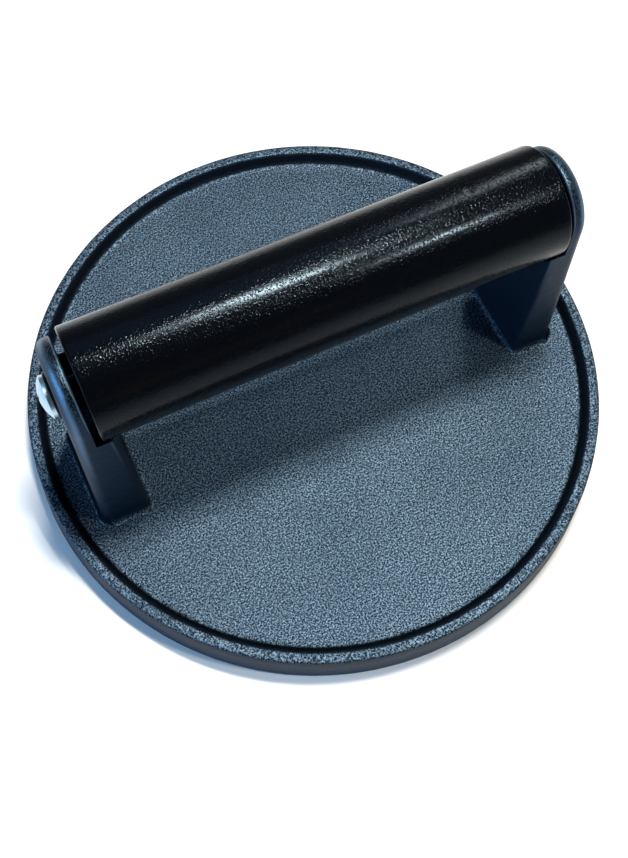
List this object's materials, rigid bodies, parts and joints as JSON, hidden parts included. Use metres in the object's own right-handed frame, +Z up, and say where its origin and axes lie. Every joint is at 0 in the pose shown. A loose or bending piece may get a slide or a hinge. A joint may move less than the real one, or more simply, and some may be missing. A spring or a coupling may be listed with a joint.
{
  "type": "burger press",
  "caption": "Round cast-iron press plate with a low rim and a turned wooden bar grip that spins on a bolt between two cast uprights.",
  "frame": {"origin": "centre of the plate's underside, which is the pressing face", "axes": "+Z up from the pressing face, X along the grip and its bolt, with the bolt's head at -X"},
  "size_m": [0.1822, 0.1822, 0.0842],
  "materials": {
    "cast_iron": "sand cast, seasoned, satin",
    "lacquered_wood": "black lacquer, semi-gloss",
    "plated_steel": "zinc plated, satin",
    "dark_steel": "blackened"
  },
  "bodies": {
    "press": {"press_plate": "cast_iron", "handle_bolt": "plated_steel", "head_washer": "dark_steel", "barrel_nut": "plated_steel", "nut_washer": "dark_steel"},
    "grip": {"grip": "lacquered_wood"}
  },
  "joints": [
    {"name": "grip_spin", "type": "hinge", "parent": "press", "child": "grip", "pos_m": [0, 0, 0.0682], "axis": [1, 0, 0], "continuous": true}
  ]
}
